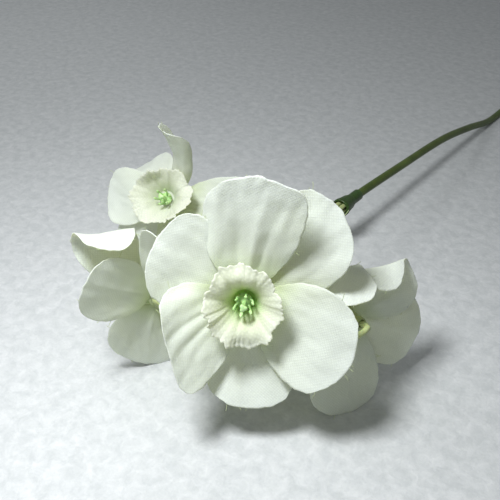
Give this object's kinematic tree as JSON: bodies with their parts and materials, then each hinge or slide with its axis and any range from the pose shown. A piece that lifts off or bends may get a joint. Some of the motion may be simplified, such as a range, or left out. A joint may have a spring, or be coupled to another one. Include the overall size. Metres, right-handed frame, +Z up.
{
  "type": "daffodil flower",
  "caption": "Cut spray of white cloth daffodils with pale ruffled cups on slim green stalks that meet in a collar on a long stem, lying on a surface.",
  "frame": {"origin": "on the surface it lies on, under the middle of the whole spray's bounding box", "axes": "+Z up from the surface, +Y along the stem from the blooms to the cut end, +X across towards the front bloom's side"},
  "size_m": [0.1596, 0.3878, 0.097],
  "materials": {
    "petal": "matt woven polyester with a faint sheen",
    "cup": "matt woven polyester, tinted green towards the throat",
    "stamen": "soft moulded plastic",
    "calyx": "satin moulded plastic",
    "stem": "satin extruded plastic",
    "collar": "satin moulded plastic",
    "wire": "drawn, with a sheared end"
  },
  "bodies": {
    "root": {"front_bloom_outer_petals": "petal", "front_bloom_inner_petals": "petal", "front_bloom_cup": "cup", "front_bloom_stamens": "stamen", "front_bloom_calyx": "calyx", "front_bloom_stalk": "calyx", "right_bloom_outer_petals": "petal", "right_bloom_inner_petals": "petal", "right_bloom_cup": "cup", "right_bloom_stamens": "stamen", "right_bloom_calyx": "calyx", "right_bloom_stalk": "calyx", "left_bloom_outer_petals": "petal", "left_bloom_inner_petals": "petal", "left_bloom_cup": "cup", "left_bloom_stamens": "stamen", "left_bloom_calyx": "calyx", "left_bloom_stalk": "calyx", "rear_bloom_outer_petals": "petal", "rear_bloom_inner_petals": "petal", "rear_bloom_cup": "cup", "rear_bloom_stamens": "stamen", "rear_bloom_calyx": "calyx", "rear_bloom_stalk": "calyx", "collar": "collar", "stem": "stem", "stem_wire": "wire"}
  },
  "joints": []
}
